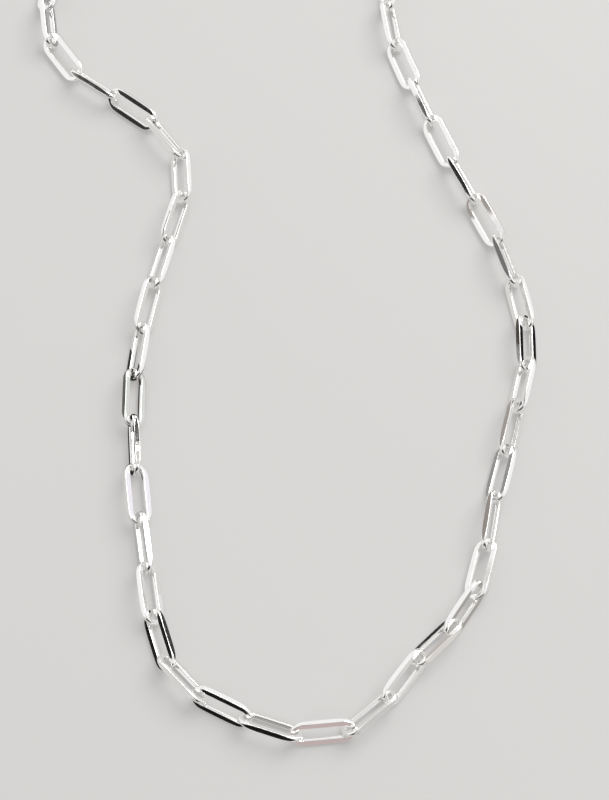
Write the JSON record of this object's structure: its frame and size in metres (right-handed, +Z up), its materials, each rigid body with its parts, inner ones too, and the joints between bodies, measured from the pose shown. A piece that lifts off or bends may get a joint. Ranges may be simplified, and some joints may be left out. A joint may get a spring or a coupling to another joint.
{
  "type": "paperclip chain necklace",
  "caption": "Necklace of long flat-faced oval links, each turned across the last, closed at the back by a drop-shaped clasp between two round rings.",
  "frame": {"origin": "middle of the loop, on the surface that the chain lies on", "axes": "+Y from the front of the loop to the clasp at the back, +X to the right as seen from above, +Z up"},
  "size_m": [0.0852, 0.1919, 0.005],
  "materials": {
    "chain": "bright polished silver",
    "end_ring": "bright polished silver",
    "clasp": "bright polished silver",
    "clasp_ring": "bright polished silver"
  },
  "bodies": {
    "root": {"chain": "chain", "end_ring": "end_ring", "clasp": "clasp", "clasp_ring": "clasp_ring"}
  },
  "joints": []
}
